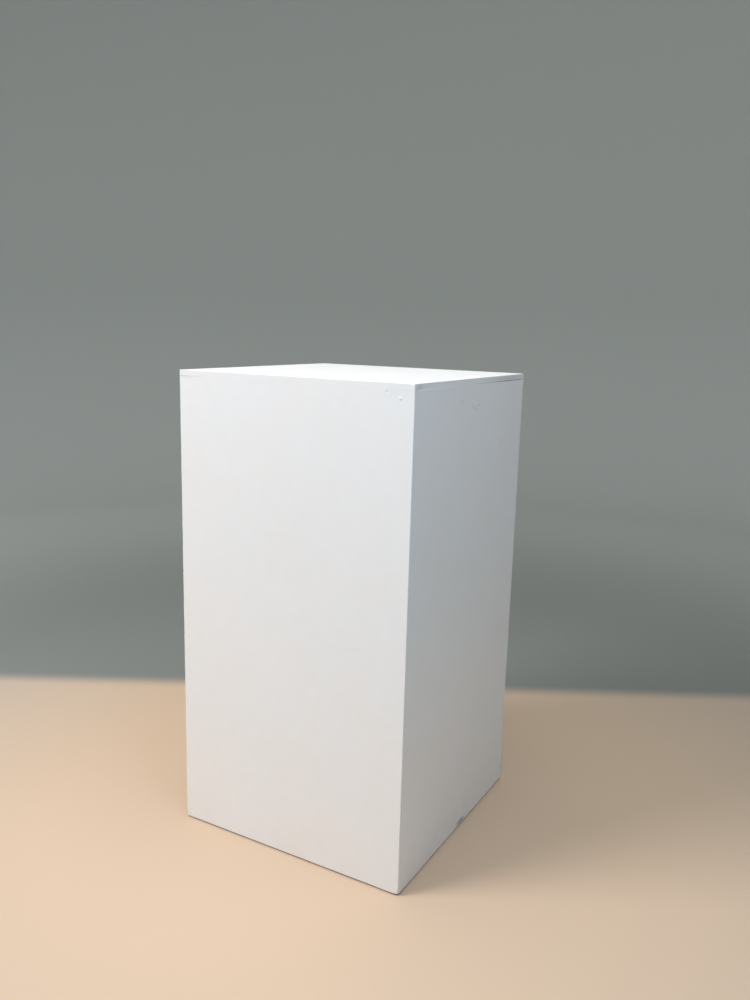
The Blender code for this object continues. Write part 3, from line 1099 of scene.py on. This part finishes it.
# Soft round lamps, all aimed at one point: (name, place, width, watts, colour)
LAMP_AIM = (0, 0, 0.55)
LAMPS = (
    ("overhead", (-0.3, -0.4, 3.4), 2.2, 23.4, (1.0, 0.975, 0.79)),
    ("key", (-1.9, -2.3, 3.0), 1.8, 122, (0.979, 0.962, 1.0)),
    ("side_top", (1.0, -0.3, 2.8), 1.2, 14.2, (0.81, 0.85, 1.0)),
    ("fill", (1.35, -1.2, 1.7), 0.8, 8.3, (0.45, 0.717, 1.0)),
)
SKY_COLOUR = (1.0, 0.988, 1.0, 1.0)
SKY_STRENGTH = 0.50


def make_stage():
    """A pale floor that curves up into a plain backdrop all round."""
    profile = [(1.0, 0.0), (2.4, 0.0), (FLOOR_RADIUS, 0.0)]
    for step in range(1, BOWL_STEPS + 1):
        angle = math.pi / 2 * step / BOWL_STEPS
        outward = FLOOR_RADIUS + BOWL_RADIUS * math.sin(angle)
        profile.append((outward, BOWL_RADIUS * (1 - math.cos(angle))))
    profile.append((FLOOR_RADIUS + BOWL_RADIUS, BOWL_TOP))
    shape = bmesh.new()
    rings = [[shape.verts.new((0, 0, 0))]]
    rings += [ring(shape, [radius] * BOWL_ROUND, height) for radius, height in profile]
    join_rings(shape, rings)
    mesh = solid_mesh("stage", shape, stage_material())
    mesh.flip_normals()
    linked("stage", mesh)


def stage_material():
    """The pale floor, a darker apron that starts behind the plinth, and the backdrop farther out."""
    recipe = Recipe("pale_floor")
    heading = math.radians(CAMERA_HEADING)
    backwards = (-math.sin(heading), math.cos(heading), 0)
    behind = recipe.vector("DOT_PRODUCT", recipe.place, backwards)
    away = recipe.vector("LENGTH", recipe.place)
    colour = recipe.mix(recipe.ramp(away, *FLOOR_FADE), FLOOR_COLOUR, FLOOR_FAR_COLOUR)
    colour = recipe.mix(recipe.ramp(behind, *APRON_FADE), colour, APRON_COLOUR)
    colour = recipe.mix(recipe.ramp(away, *BACKDROP_FADE), colour, BACKDROP_COLOUR)
    return recipe.finish(colour, roughness=0.75)


def soft_lamp(name, place, width, watts, colour):
    data = bpy.data.lights.new(name, "AREA")
    data.shape = "DISK"
    data.size = width
    data.energy = watts
    data.color = colour
    lamp = linked(name, data)
    lamp.location = place
    lamp.rotation_mode = "QUATERNION"
    lamp.rotation_quaternion = (Vector(LAMP_AIM) - Vector(place)).to_track_quat("-Z", "Y")
    lamp.visible_camera = False


def make_light():
    world = bpy.data.worlds.new("studio")
    bpy.context.scene.world = world
    world.use_nodes = True
    sky = world.node_tree.nodes["Background"]
    sky.inputs["Color"].default_value = SKY_COLOUR
    sky.inputs["Strength"].default_value = SKY_STRENGTH
    for lamp in LAMPS:
        soft_lamp(*lamp)
    settings = bpy.context.scene.view_settings
    settings.view_transform = "Standard"
    settings.look = "None"


def make_camera():
    data = bpy.data.cameras.new("camera")
    data.sensor_width = CAMERA_SENSOR
    data.lens = CAMERA_LENS
    camera = linked("camera", data)
    heading = Matrix.Rotation(math.radians(CAMERA_HEADING), 4, "Z")
    tilt = Matrix.Rotation(math.radians(90 - CAMERA_TILT_DOWN), 4, "X")
    roll = Matrix.Rotation(math.radians(CAMERA_ROLL), 4, "Z")
    camera.matrix_world = Matrix.Translation(CAMERA_PLACE) @ heading @ tilt @ roll
    bpy.context.scene.camera = camera


def main():
    paint = paint_material()
    raw = raw_board_material()
    for name in SHEETS:
        painted_sheet(name, paint, raw)
    make_fixings(zinc_material(), nylon_material())
    grain_the_frame()
    make_stage()
    make_light()
    make_camera()


main()
